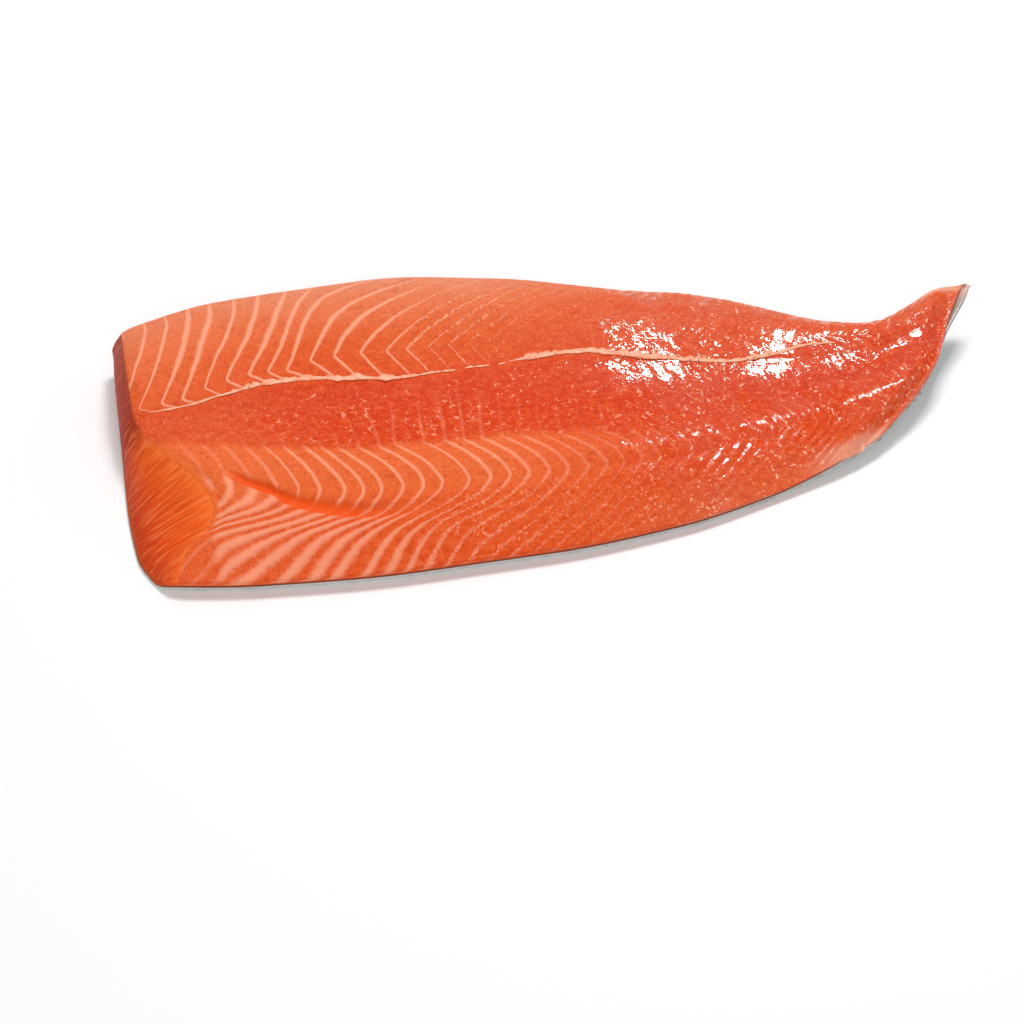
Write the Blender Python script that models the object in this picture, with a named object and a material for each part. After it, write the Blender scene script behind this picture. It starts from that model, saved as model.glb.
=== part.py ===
"""A raw salmon fillet lying on its skin.

X runs from the slanted head cut to the tail, Y towards the back of the fish and Z up.
The flesh is one solid. The skin is a second, thin solid under it, turned up at the two long edges.
The underside is flat, and the tail end lifts off it and flares.
"""
import bpy
import numpy as np

for left_over in list(bpy.data.objects):
    bpy.data.objects.remove(left_over, do_unlink=True)

# ---- driving dimensions, all in millimetres -------------------------------------------------------
METRE = 1000.0
LENGTH = 422.0            # head cut to the end of the tail
SKIN_THICKNESS = 1.3
SEAM_GAP = 0.3            # between the flesh and its skin
SKIN_MARGIN = 8.0         # bare skin past the flesh at the tail end
ROWS_ALONG = 56
RIM_BANDS = 3             # bands of faces between the top and the underside

# Stations along the fillet, from the head cut, and what is measured at each of them.
STATION = [0, 60, 130, 190, 250, 290, 350, 368, 385, 400, 422]
BACK_EDGE = [88, 102.5, 104.5, 96, 79, 70.5, 36, 31.5, 37.5, 43.5, 44.5]
BELLY_EDGE = [-52, -63, -68, -68, -63, -54, -34, -26, -19, -12, -4]
THICKNESS = [35, 36, 36, 34, 30, 26, 18, 15, 12, 9, 6]
TAIL_LIFT = [0, 0, 0, 0, 0, 0, 8, 12.5, 17, 21.5, 28]

# Lines that run from head to tail, each as a share of the width from the back edge.
MIDLINE = [.42, .42, .435, .40, .375, .395, .31, .29, .29, .30, .32]
DARK_BAND = [.52, .61, .67, .675, .68, .67, .64, .62, .62, .62, .62]
BELLY_FOLD = [.72, .77, .815, .81, .805, .80, .80, .81, .81, .82, .82]

# Height across the fillet as a share of its thickness. Across counts the lines above:
# 0 back edge, 1 midline, 2 lower border of the dark band, 3 belly fold, 4 belly edge.
ACROSS = [0, .12, .5, .97, 1.04, 1.5, 2, 2.35, 3, 3.5, 4]
HEIGHT = [.68, .87, 1.02, .89, .855, .77, .785, .79, .67, .48, .22]
ROWS_ACROSS = [0, .05, .14, .3, .5, .7, .86, .97, 1.04, 1.25, 1.55, 1.85, 2.1, 2.35, 2.6, 2.85, 3.05,
               3.25, 3.5, 3.76, 4]

# The head cut slants: its top edge lies further back than its bottom edge towards the belly.
CUT_ACROSS = [0, 1, 1.5, 1.85, 2.25, 2.75, 3.1, 3.35, 3.6, 4]
CUT_TOP = [12, 13, 16, 20, 29, 42, 46, 42, 30, 22]
CUT_SHARE = [0, .65, .85, 1]
CUT_BOTTOM = [6, 4, 6, 17]
CUT_SOFTENING = 1.2       # how far the top edge of the cut is rounded down
# The tail end is cut off at a slant as well.
TAIL_SHARE = [0, .3, .62, .82, 1]
TAIL_SHORTER = [0, 11.5, 24, 41, 72]
TAIL_TAPER = 14.0         # length over which the flesh thins out to the skin
TAIL_EDGE = 0.45          # share of the thickness left at the very end

# The belly muscle stops at a short slit near the head and the flap beyond it lies lower.
SLIT_STATION = [50, 56, 62, 68, 72, 76, 86, 98, 110, 150]
SLIT_ACROSS = [2.55, 2.64, 2.74, 2.81, 2.9, 2.98, 3.06, 3.12, 3.15, 3.18]
SLIT_DROP = 3.2

# The skin turns up at the back edge and the belly edge in a quarter round.
BACK_TURN = 0.45          # height of the turn as a share of the thickness
BELLY_TURN = 0.12
BACK_ROUND = 0.75         # width of the turn as a share of its height
BELLY_ROUND = 1.3
BACK_ZONE = 0.14          # part of the rows under the fillet given to each turn
BELLY_ZONE = 0.06
TURN_ROWS = 5
RIM_BULGE = 0.08          # how far the side bulges, as a share of its height


def along(stations, values, at):
    """Smooth curve through the values at the stations that never swings past them."""
    stations = np.asarray(stations, float)
    values = np.asarray(values, float)
    at = np.clip(at, stations[0], stations[-1])
    step = np.diff(stations)
    slope = np.diff(values) / step
    turn = np.zeros_like(values)
    turn[0] = slope[0]
    turn[-1] = slope[-1]
    before = slope[:-1]
    after = slope[1:]
    one_way = before * after > 0
    product = np.where(one_way, before * after, 0)
    total = np.where(one_way, before + after, 1)
    turn[1:-1] = 2 * product / total
    k = np.clip(np.searchsorted(stations, at, side="right") - 1, 0, len(step) - 1)
    u = (at - stations[k]) / step[k]
    return (values[k] * (1 + 2 * u) * (1 - u) ** 2 + turn[k] * step[k] * u * (1 - u) ** 2
            + values[k + 1] * u * u * (3 - 2 * u) + turn[k + 1] * step[k] * u * u * (u - 1))


def ramp(low, high, value):
    """0 below low, 1 above high and a smooth rise between."""
    u = np.clip((value - low) / (high - low), 0, 1)
    return u * u * (3 - 2 * u)


def share_of_width(x, across):
    """Where a line between the landmark lines runs, as a share of the width."""
    marks = [0 * x, along(STATION, MIDLINE, x), along(STATION, DARK_BAND, x),
             along(STATION, BELLY_FOLD, x), 0 * x + 1]
    marks = np.stack(marks)
    below = np.clip(np.floor(across).astype(int), 0, 3)
    part = across - below
    low = np.take_along_axis(marks, below[None], 0)[0]
    high = np.take_along_axis(marks, below[None] + 1, 0)[0]
    return low * (1 - part) + high * part


def top_surface(along_share, across):
    """Points of the upper surface; along_share runs 0 at the head cut to 1 at the tail."""
    start = along(CUT_ACROSS, CUT_TOP, across)
    width_share = np.interp(across, [0, 1, 2, 3, 4], TAIL_SHARE)
    end = LENGTH - SKIN_MARGIN - along(TAIL_SHARE, TAIL_SHORTER, width_share)
    x = start + along_share * (end - start)
    back = along(STATION, BACK_EDGE, x)
    belly = along(STATION, BELLY_EDGE, x)
    y = back + (belly - back) * share_of_width(x, across)
    taper = TAIL_EDGE + (1 - TAIL_EDGE) * ramp(0, TAIL_TAPER, end - x)
    z = along(STATION, THICKNESS, x) * along(ACROSS, HEIGHT, across) * taper
    beyond_slit = across - along(SLIT_STATION, SLIT_ACROSS, x)
    slit_reach = ramp(46, 62, x) * (1 - ramp(105, 150, x))
    z = z - SLIT_DROP * slit_reach * ramp(-.06, .06, beyond_slit) * (1 - ramp(.3, .95, beyond_slit))
    z = z - CUT_SOFTENING * (1 - ramp(0, 5, x - start))
    return np.stack([x, y, z + along(STATION, TAIL_LIFT, x)], -1)


def skin_outside(x, turn):
    """Outside of the skin; turn runs 0 at its back edge, along the underside, to 1 at its belly edge."""
    full = along(STATION, THICKNESS, x)
    back = along(STATION, BACK_EDGE, x)
    belly = along(STATION, BELLY_EDGE, x)
    back_high = BACK_TURN * full
    belly_high = BELLY_TURN * full
    flat_from = back - BACK_ROUND * back_high
    flat_to = belly + BELLY_ROUND * belly_high
    back_angle = np.clip(turn / BACK_ZONE, 0, 1) * np.pi / 2
    belly_angle = np.clip((1 - turn) / BELLY_ZONE, 0, 1) * np.pi / 2
    flat = np.clip((turn - BACK_ZONE) / (1 - BACK_ZONE - BELLY_ZONE), 0, 1)
    y = flat_from + (flat_to - flat_from) * flat
    y = y + BACK_ROUND * back_high * np.cos(back_angle)
    y = y - BELLY_ROUND * belly_high * np.cos(belly_angle)
    z = back_high * (1 - np.sin(back_angle)) + belly_high * (1 - np.sin(belly_angle))
    return np.stack([x, y, z + along(STATION, TAIL_LIFT, x)], -1)


def under_surface(x, turn, depth):
    """The skin's outside moved inwards by the depth."""
    nudge = 0.004
    after = skin_outside(x, np.minimum(turn + nudge, 1))
    before = skin_outside(x, np.maximum(turn - nudge, 0))
    sideways = after - before
    lengthwise = skin_outside(x + 1, turn) - skin_outside(x - 1, turn)
    lengthwise[..., 0] = 2
    inwards = np.cross(sideways, lengthwise)
    inwards = inwards / np.linalg.norm(inwards, axis=-1, keepdims=True)
    moved = skin_outside(x, turn) + inwards * depth
    moved[..., 0] = x
    return moved


def outline_of(grid):
    """The edge of a grid of points as one loop."""
    return np.concatenate([grid[:-1, 0], grid[-1, :-1], grid[:0:-1, -1], grid[0, :0:-1]])


def closed_solid(name, top, bottom, bands, bulge, colour, roughness):
    """One closed mesh from an upper grid, a lower grid of the same size and bands that join their edges."""
    rows, columns = top.shape[:2]
    number = np.arange(rows * columns).reshape(rows, columns)
    loops = [outline_of(number)]
    points = [top.reshape(-1, 3)]
    count = rows * columns
    upper = outline_of(top)
    lower = outline_of(bottom)
    tangent = np.roll(upper + lower, -1, 0) - np.roll(upper + lower, 1, 0)
    outward = np.stack([-tangent[:, 1], tangent[:, 0], 0 * tangent[:, 0]], -1)
    outward = outward / np.linalg.norm(outward, axis=1, keepdims=True)
    height = np.linalg.norm(upper - lower, axis=1, keepdims=True)
    for band in range(1, bands):
        down = band / bands
        middle = upper * (1 - down) + lower * down
        points.append(middle + outward * height * bulge * np.sin(np.pi * down))
        loops.append(count + np.arange(len(upper)))
        count += len(upper)
    points.append(bottom.reshape(-1, 3))
    loops.append(count + outline_of(number))
    faces = []
    for r in range(rows - 1):
        for c in range(columns - 1):
            a, b = number[r, c], number[r, c + 1]
            d, e = number[r + 1, c], number[r + 1, c + 1]
            faces.append((a, b, e, d))
            faces.append((count + a, count + d, count + e, count + b))
    for over, under in zip(loops[:-1], loops[1:]):
        for k in range(len(over)):
            n = (k + 1) % len(over)
            faces.append((over[k], over[n], under[n], under[k]))
    mesh = bpy.data.meshes.new(name)
    mesh.from_pydata(np.concatenate(points) / METRE, [], [[int(i) for i in face] for face in faces])
    mesh.validate()
    material = bpy.data.materials.new(name)
    material.use_nodes = True
    shader = material.node_tree.nodes["Principled BSDF"]
    shader.inputs["Base Color"].default_value = colour
    shader.inputs["Roughness"].default_value = roughness
    mesh.materials.append(material)
    solid = bpy.data.objects.new(name, mesh)
    bpy.context.scene.collection.objects.link(solid)
    return solid


# ---- the grids --------------------------------------------------------------------------------
even = np.linspace(0, 1, ROWS_ALONG)
closer_at_ends = even - 0.035 * np.sin(2 * np.pi * even)
across_rows = np.array(ROWS_ACROSS, float)
share, across = np.meshgrid(closer_at_ends, across_rows, indexing="ij")
flesh_top = top_surface(share, across)

# The same number of rows under the flesh, close together where the skin turns up.
back_rows = np.linspace(0, BACK_ZONE, TURN_ROWS)
belly_rows = np.linspace(1 - BELLY_ZONE, 1, TURN_ROWS - 1)
flat_rows = np.linspace(BACK_ZONE, 1 - BELLY_ZONE, len(across_rows) - 2 * TURN_ROWS + 3)
turn_rows = np.concatenate([back_rows, flat_rows[1:-1], belly_rows])
share, turn = np.meshgrid(closer_at_ends, turn_rows, indexing="ij")
start = along(CUT_SHARE, CUT_BOTTOM, turn)
end = LENGTH - SKIN_MARGIN + 1 - along(TAIL_SHARE, TAIL_SHORTER, turn)
under_x = start + share * (end - start)
flesh_bottom = under_surface(under_x, turn, SKIN_THICKNESS + SEAM_GAP)

# The skin follows the same rows, one row longer at the tail and one row lower at both long edges.
skin_x = np.vstack([under_x, under_x[-1:] + SKIN_MARGIN - 1])[:, 1:-1]
skin_turn = np.vstack([turn, turn[-1:]])[:, 1:-1]
skin_inside = under_surface(skin_x, skin_turn, SKIN_THICKNESS)
skin_out = under_surface(skin_x, skin_turn, 0)

# The middle of the bounding box is the middle of X and Y.
every = np.concatenate([g.reshape(-1, 3) for g in (flesh_top, flesh_bottom, skin_inside, skin_out)])
middle = (every.min(0) + every.max(0)) / 2
middle[2] = 0
closed_solid("flesh", flesh_top - middle, flesh_bottom - middle, RIM_BANDS, RIM_BULGE,
             (0.80, 0.16, 0.06, 1), 0.35)
closed_solid("skin", skin_inside - middle, skin_out - middle, 1, 0, (0.33, 0.34, 0.36, 1), 0.3)
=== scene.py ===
# %% [markdown]
# # A raw salmon fillet
# This lesson dresses a plain model of a raw salmon fillet. The real thing is one side of the fish, cut off its
# backbone. It lies on its skin, so the flesh shows: thin muscle leaves stacked from head to tail, with a pale
# sheet of connective tissue and fat between each two.
# The plain model gives the size and the place of everything. All lengths in the tables below are millimetres.

import bpy
import numpy as np
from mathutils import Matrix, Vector


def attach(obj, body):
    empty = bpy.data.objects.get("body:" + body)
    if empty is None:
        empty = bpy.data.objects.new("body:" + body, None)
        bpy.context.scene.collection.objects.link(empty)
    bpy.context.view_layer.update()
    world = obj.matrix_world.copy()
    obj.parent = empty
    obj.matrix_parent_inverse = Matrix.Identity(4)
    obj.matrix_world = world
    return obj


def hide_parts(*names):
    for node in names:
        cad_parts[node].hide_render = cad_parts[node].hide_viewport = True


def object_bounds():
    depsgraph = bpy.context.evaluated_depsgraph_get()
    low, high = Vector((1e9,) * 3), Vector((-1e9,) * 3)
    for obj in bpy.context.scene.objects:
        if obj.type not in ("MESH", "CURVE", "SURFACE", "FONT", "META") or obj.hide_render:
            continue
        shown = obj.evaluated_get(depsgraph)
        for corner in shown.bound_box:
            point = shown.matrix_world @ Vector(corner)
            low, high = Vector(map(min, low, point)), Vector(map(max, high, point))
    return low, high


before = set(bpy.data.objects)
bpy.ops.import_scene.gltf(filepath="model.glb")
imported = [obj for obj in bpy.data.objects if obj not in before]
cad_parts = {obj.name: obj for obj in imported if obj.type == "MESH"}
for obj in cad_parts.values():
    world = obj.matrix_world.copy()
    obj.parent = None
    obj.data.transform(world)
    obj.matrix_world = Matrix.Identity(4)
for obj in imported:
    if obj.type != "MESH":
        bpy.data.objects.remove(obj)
plain_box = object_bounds()
print("plain model:", [round(b - a, 3) for a, b in zip(*plain_box)], "m")

# %% [markdown]
# ## Lines that run from head to tail
# A fillet is easiest to describe as a filleter sees it: how wide and thick it is at a few stations along its
# length, and where the lines that divide it run. A smooth curve through a few measured values gives every width
# between them, and it is easier to correct than a sculpted mesh.

# %% Measures along the fillet
MM = 0.001
LENGTH = 422.0
SKIN_MARGIN = 8.0
STATION = [0, 60, 130, 190, 250, 290, 350, 368, 385, 400, 422]
BACK_EDGE = [88, 102.5, 104.5, 96, 79, 70.5, 36, 31.5, 37.5, 43.5, 44.5]
BELLY_EDGE = [-52, -63, -68, -68, -63, -54, -34, -26, -19, -12, -4]
THICKNESS = [35, 36, 36, 34, 30, 26, 18, 15, 12, 9, 6]
TAIL_LIFT = [0, 0, 0, 0, 0, 0, 8, 12.5, 17, 21.5, 28]
MIDLINE = [.42, .42, .435, .40, .375, .395, .31, .29, .29, .30, .32]
DARK_BAND = [.52, .61, .67, .675, .68, .67, .64, .62, .62, .62, .62]
BELLY_FOLD = [.72, .77, .815, .81, .805, .80, .80, .81, .81, .82, .82]
ACROSS = [0, .12, .5, .97, 1.04, 1.5, 2, 2.35, 3, 3.5, 4]
HEIGHT = [.68, .87, 1.02, .89, .855, .77, .785, .79, .67, .48, .22]
CUT_ACROSS = [0, 1, 1.5, 1.85, 2.25, 2.75, 3.1, 3.35, 3.6, 4]
CUT_TOP = [12, 13, 16, 20, 29, 42, 46, 42, 30, 22]
CUT_SHARE = [0, .65, .85, 1]
CUT_BOTTOM = [6, 4, 6, 17]
TAIL_SHARE = [0, .3, .62, .82, 1]
TAIL_SHORTER = [0, 11.5, 24, 41, 72]
SLIT_STATION = [50, 56, 62, 68, 72, 76, 86, 98, 110, 150]
SLIT_ACROSS = [2.55, 2.64, 2.74, 2.81, 2.9, 2.98, 3.06, 3.12, 3.15, 3.18]
SLIT_DROP = 3.2
BACK_TURN, BELLY_TURN = 0.45, 0.12      # how high the skin turns up at its edges, as a share of the thickness
BACK_ROUND, BELLY_ROUND = 0.75, 1.3     # width of each turn as a share of its height
BACK_ZONE, BELLY_ZONE = 0.14, 0.06      # part of the skin's rows given to each turn
SKIN_THICKNESS = 1.3
SEAM_GAP = 0.3


def along(stations, values, at):
    """Smooth curve through the values at the stations that never swings past them."""
    stations, values = np.asarray(stations, float), np.asarray(values, float)
    at = np.clip(at, stations[0], stations[-1])
    step = np.diff(stations)
    slope = np.diff(values) / step
    before, after = slope[:-1], slope[1:]
    one_way = before * after > 0
    turn = np.r_[slope[0], np.where(one_way, 2 * before * after, 0) / np.where(one_way, before + after, 1), slope[-1]]
    k = np.clip(np.searchsorted(stations, at, side="right") - 1, 0, len(step) - 1)
    u = (at - stations[k]) / step[k]
    return (values[k] * (1 + 2 * u) * (1 - u) ** 2 + turn[k] * step[k] * u * (1 - u) ** 2
            + values[k + 1] * u * u * (3 - 2 * u) + turn[k + 1] * step[k] * u * u * (u - 1))


def ramp(low, high, value):
    """0 below low, 1 above high and a smooth rise between."""
    u = np.clip((value - low) / (high - low), 0, 1)
    return u * u * (3 - 2 * u)


def soft_noise(x, y, size, seed):
    """Smooth random swells between -1 and 1, about one size apart."""
    table = np.random.default_rng(seed).uniform(-1, 1, (128, 128))
    u, v = np.asarray(x / size), np.asarray(y / size)
    i, j = np.floor(u).astype(int), np.floor(v).astype(int)
    a, b = ramp(0, 1, u - i), ramp(0, 1, v - j)
    corner = [[table[(i + p) % 128, (j + q) % 128] for q in (0, 1)] for p in (0, 1)]
    return (corner[0][0] * (1 - a) + corner[1][0] * a) * (1 - b) + (corner[0][1] * (1 - a) + corner[1][1] * a) * b


# %% [markdown]
# ## The surfaces
# Two surfaces bound the fillet: the top of the flesh, and the outside of the skin. A point of the top is named by
# how far it is from head to tail and by how far it is across, where whole numbers are the lines a filleter knows:
# 0 back edge, 1 midline, 2 end of the dark band, 3 belly fold, 4 belly edge. Patterns can then follow the fish.

# %% Surfaces of the flesh and the skin
def share_of_width(x, across):
    """Where a line between the landmark lines runs, as a share of the width."""
    marks = np.stack([0 * x, along(STATION, MIDLINE, x), along(STATION, DARK_BAND, x),
                      along(STATION, BELLY_FOLD, x), 0 * x + 1])
    below = np.clip(np.floor(across).astype(int), 0, 3)
    low = np.take_along_axis(marks, below[None], 0)[0]
    high = np.take_along_axis(marks, below[None] + 1, 0)[0]
    return low + (high - low) * (across - below)


def top_ends(across):
    """Where the upper surface starts at the head cut and ends at the tail."""
    start = along(CUT_ACROSS, CUT_TOP, across)
    end = LENGTH - SKIN_MARGIN - along(TAIL_SHARE, TAIL_SHORTER, np.interp(across, [0, 1, 2, 3, 4], TAIL_SHARE))
    return start, end


def past_slit(x, across):
    """How far a point lies past the slit towards the belly edge, and how open the slit is there."""
    return across - along(SLIT_STATION, SLIT_ACROSS, x), ramp(46, 62, x) * (1 - ramp(105, 150, x))


def top_surface(x, across):
    """Points of the upper surface."""
    start, end = top_ends(across)
    back, belly = along(STATION, BACK_EDGE, x), along(STATION, BELLY_EDGE, x)
    y = back + (belly - back) * share_of_width(x, across)
    z = along(STATION, THICKNESS, x) * along(ACROSS, HEIGHT, across) * (.45 + .55 * ramp(0, 14, end - x))
    beyond, open_slit = past_slit(x, across)
    z = z - SLIT_DROP * open_slit * ramp(-.06, .03, beyond) * (1 - ramp(.3, .95, beyond))
    z = z - 1.2 * (1 - ramp(0, 5, x - start))
    return np.stack([x, y, z + along(STATION, TAIL_LIFT, x)], -1)


def skin_outside(x, turn):
    """Outside of the skin; turn runs 0 at its back edge, along the underside, to 1 at its belly edge."""
    full = along(STATION, THICKNESS, x)
    back_high, belly_high = BACK_TURN * full, BELLY_TURN * full
    flat_from = along(STATION, BACK_EDGE, x) - BACK_ROUND * back_high
    flat_to = along(STATION, BELLY_EDGE, x) + BELLY_ROUND * belly_high
    back_angle = np.clip(turn / BACK_ZONE, 0, 1) * np.pi / 2
    belly_angle = np.clip((1 - turn) / BELLY_ZONE, 0, 1) * np.pi / 2
    flat = np.clip((turn - BACK_ZONE) / (1 - BACK_ZONE - BELLY_ZONE), 0, 1)
    y = flat_from + (flat_to - flat_from) * flat
    y = y + BACK_ROUND * back_high * np.cos(back_angle) - BELLY_ROUND * belly_high * np.cos(belly_angle)
    z = back_high * (1 - np.sin(back_angle)) + belly_high * (1 - np.sin(belly_angle))
    return np.stack([x, y, z + along(STATION, TAIL_LIFT, x)], -1)


def inward_of_skin(x, turn):
    """Unit vector out of the skin into the flesh."""
    nudge = .004
    sideways = skin_outside(x, np.minimum(turn + nudge, 1)) - skin_outside(x, np.maximum(turn - nudge, 0))
    lengthwise = skin_outside(x + 1, turn) - skin_outside(x - 1, turn)
    lengthwise[..., 0] = 2
    inward = np.cross(sideways, lengthwise)
    return inward / np.linalg.norm(inward, axis=-1, keepdims=True)


def under_surface(x, turn, depth):
    """The skin's outside moved inwards by the depth."""
    moved = skin_outside(x, turn) + inward_of_skin(x, turn) * depth
    moved[..., 0] = x
    return moved


def under_ends(turn, longer):
    """Where the rows under the fillet start and end; longer is added at the tail."""
    return (along(CUT_SHARE, CUT_BOTTOM, turn),
            LENGTH - SKIN_MARGIN + longer - along(TAIL_SHARE, TAIL_SHORTER, turn))


def tail_margin(turn):
    """How far the skin sticks out past the flesh at the tail: most at the backbone side."""
    return SKIN_MARGIN * (1 - .88 * ramp(.22, .58, turn)) * (.35 + .65 * ramp(.035, .12, turn))


def between(ends, share):
    """The place at this share of the way between two ends."""
    return ends[0] + share * (ends[1] - ends[0])


# The plain model is centred on its box, so the same shift brings these millimetres onto it.
(low_x, low_y, _), (high_x, high_y, _) = plain_box
tail_tip = under_ends(np.linspace(.035, .98, 400), SKIN_MARGIN)[1].max()
widest = along(STATION, BACK_EDGE, np.linspace(0, LENGTH, 400)).max()
CENTRE = np.array([tail_tip - high_x / MM, widest - high_y / MM, 0])
print("middle of the box:", CENTRE.round(1), "mm from the head cut and the backbone side")

# %% [markdown]
# ## The muscle leaves
# A salmon's flesh is a stack of some fifty leaves. Seen from the cut side each pale sheet between two leaves is a
# line bent like a W: it leans towards the tail above the midline, has a sharp tip just above it, bulges towards
# the tail again in the belly and sweeps back to the head below the belly fold. One number that grows by one from
# each sheet to the next draws them all: where it passes a whole number there is a line. The lines are not evenly
# spaced, so where they lie is measured twice, at the sharp tips and at the fullest part of the belly, and the
# bend between is a smooth shift. The number is worked out here, once for each point of the mesh.

# %% The number of each muscle leaf
TIP_LINES = [-18, -6, 5, 15.5, 26, 35.5, 46, 56.5, 67.5, 76.5, 85, 97, 107.5, 120, 132.5, 142, 152]
BELLY_LINES = [10, 22, 32, 42, 52, 62, 71.5, 81, 91, 101.5, 110, 118.5, 128, 137.5, 145.5, 158, 167.5, 176, 184.5]
PITCH_STATION = [150, 200, 260, 330, 420]
PITCH = [9.6, 9, 8, 7, 5.5]                           # distance between two lines farther on
SEAM_AT_STATION = [15, 40, 50, 60, 72, 95, 110, 125, 140, 180, 195, 225, 243, 271, 292, 304, 316, 330, 352]
SEAM_AT = [1.10, 1.09, 1.03, 1.0, .97, .96, .98, 1.0, 1.02, 1.02, .99, .94, .98, 1.03, 1.06, 1.01, .96, .84, .76]
TIP_STATION = [0, 50, 85, 97, 120, 420]
TIP_ACROSS = [.88, .89, .90, .85, .80, .78]           # where the sharp tip above the midline lies
LEAN_STATION = [50, 77, 93, 107, 120, 135, 155, 180, 205, 260, 310, 420]
LEAN = [18, 22, 26.3, 33, 43, 56, 70, 76, 74, 50, 28, 16]    # how far a line leans from its tip to the back edge
LEG_STATION = [0, 50, 90, 130, 250, 420]
LEG = [5, 7, 9.5, 10, 7, 5]                           # from the tip back to the midline
FULLEST = 2.9                                         # where the belly bulges most
BULGE_STATION = [0, 60, 85, 110, 150, 200, 240, 270, 420]
BULGE = [9, 12, 14, 16.5, 17, 17, 11, 8, 4]           # how far a line bulges to the tail in the belly
FOLD_ACROSS = [2.9, 3.0, 3.1, 3.2, 3.3, 3.4, 3.5, 3.65, 4]
FOLD_BACK = [0, 1, 4, 9.5, 18, 28, 36, 43, 53]        # how far it runs back to the head below the fold
FOLD_STATION = [30, 44, 57, 71, 83, 100, 170, 300, 420]
FOLD_TIMES = [1.36, 1.33, 1.22, 1.1, 1.04, 1, .95, .7, .4]


def continued(lines):
    """The measured lines, with more added as far as the tail."""
    lines = list(lines)
    while lines[-1] < 520:
        lines.append(lines[-1] + np.interp(lines[-1], PITCH_STATION, PITCH))
    return np.array(lines)


tip_lines, belly_lines = continued(TIP_LINES), continued(BELLY_LINES)


def muscle_across(x, across):
    """The distance across as the muscle has it: the midline wanders, and is always at 1."""
    return across + (1 - along(SEAM_AT_STATION, SEAM_AT, x)) * np.interp(across, [.2, 1, 1.8], [0, 1, 0])


def shift_above(x, at):
    """How far a line of the loin has moved towards the tail from its sharp tip, in mm."""
    tip = along(TIP_STATION, TIP_ACROSS, x)
    up = np.clip((tip - at) / tip, 0, 1)
    straight = ramp(60, 110, x)
    rise = (1 - straight) * np.sin(np.clip(up * 1.25, 0, 1) * np.pi / 2) + straight * up
    leg = along(LEG_STATION, LEG, x) * np.clip((at - tip) / (1 - tip), 0, 1)
    return along(LEAN_STATION, LEAN, x) * rise + leg + 13 * ramp(210, 260, x) * np.clip(at - 1, 0, 1)


def shift_below(x, at):
    """How far a line of the belly has moved towards the tail from its fullest part, in mm."""
    up = np.clip((FULLEST - at) / (FULLEST - 2), 0, 1)
    even = ramp(140, 190, x)
    evenly = 56 * (np.hypot(np.clip(at - FULLEST, 0, 2), .2) - .2)
    fold = (1 - even) * along(FOLD_ACROSS, FOLD_BACK, at) + even * evenly
    return -along(BULGE_STATION, BULGE, x) * up ** 1.5 - along(FOLD_STATION, FOLD_TIMES, x) * fold


def leaf_number(x, across, y):
    """Grows by one from each pale sheet to the next."""
    at = muscle_across(x, across)
    x = x + .6 * soft_noise(x, y, 26, 1) + .45 * soft_noise(x, y, 9, 2)
    loin = np.interp(x - shift_above(x, at), tip_lines, np.arange(len(tip_lines)) - 2.0)
    belly = np.interp(x - shift_below(x, at), belly_lines, np.arange(len(belly_lines)) - 3.0)
    lower = ramp(1.25, 1.95, at)
    return loin * (1 - lower) + belly * lower


for name, across_at in (("upper loin", .5), ("belly", 2.6)):
    numbers = leaf_number(np.array([10., 400.]), np.array([across_at] * 2), np.array([50., 10.]))
    print(name, "leaves between head cut and tail:", round(float(numbers[1] - numbers[0])))

# %% [markdown]
# ## The flesh
# The flesh is one soft solid. A fine grid carries the low ridges of the leaves, the step of the slit and the
# slight swells of a moist surface. The side and the slanted head cut join it to a coarse grid underneath, which
# nobody sees. It could be sculpted, but a grid made by rule keeps its rows along the muscle, and each point can
# carry numbers (attributes) for the material to read.

# %% Relief of the flesh
BANDS = 16
COARSE = 4
ROWS = 380
ZONE_ROWS = (54, 30, 32, 36)
SLIT_FILL = .9                                        # soft flesh fills the slit by so much
zones = [np.linspace(k, k + 1, n, endpoint=False) for k, n in enumerate(ZONE_ROWS)]
across_rows = np.append(np.concatenate(zones), 4.0)


def line_strength(x, at):
    """How clearly the pale lines show, 0 to 1."""
    fade = ramp(150, 205, x - 56 * np.clip(.8 - at, 0, .8))
    loin = (1 - .9 * fade) * (1 - ramp(.97, 1.0, at)) * (.5 + .5 * ramp(0, .2, at))
    band = (.06 + .14 * ramp(105, 120, x) * (1 - ramp(165, 185, x))) * ramp(1.25, 1.6, at) * (1 - ramp(1.9, 2.1, at))
    belly = .72 * ramp(1.92, 2.12, at) * (1 - .55 * ramp(160, 215, x)) * (1 - .5 * ramp(205, 290, x))
    belly = belly * (.35 + .65 * ramp(50, 88, x))
    front = 1 - .25 * ramp(2.95, 3.2, at) * ramp(110, 200, x)
    return np.clip(.9 * loin + band + belly, 0, 1) * front


def flap_of(x, across):
    """1 on the thick belly flap beside the slit."""
    beyond, open_slit = past_slit(x, across)
    return ramp(.10, .18, beyond) * ramp(36, 44, x) * (1 - ramp(95, 150, x)) * ramp(2.3, 2.7, across)


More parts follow.
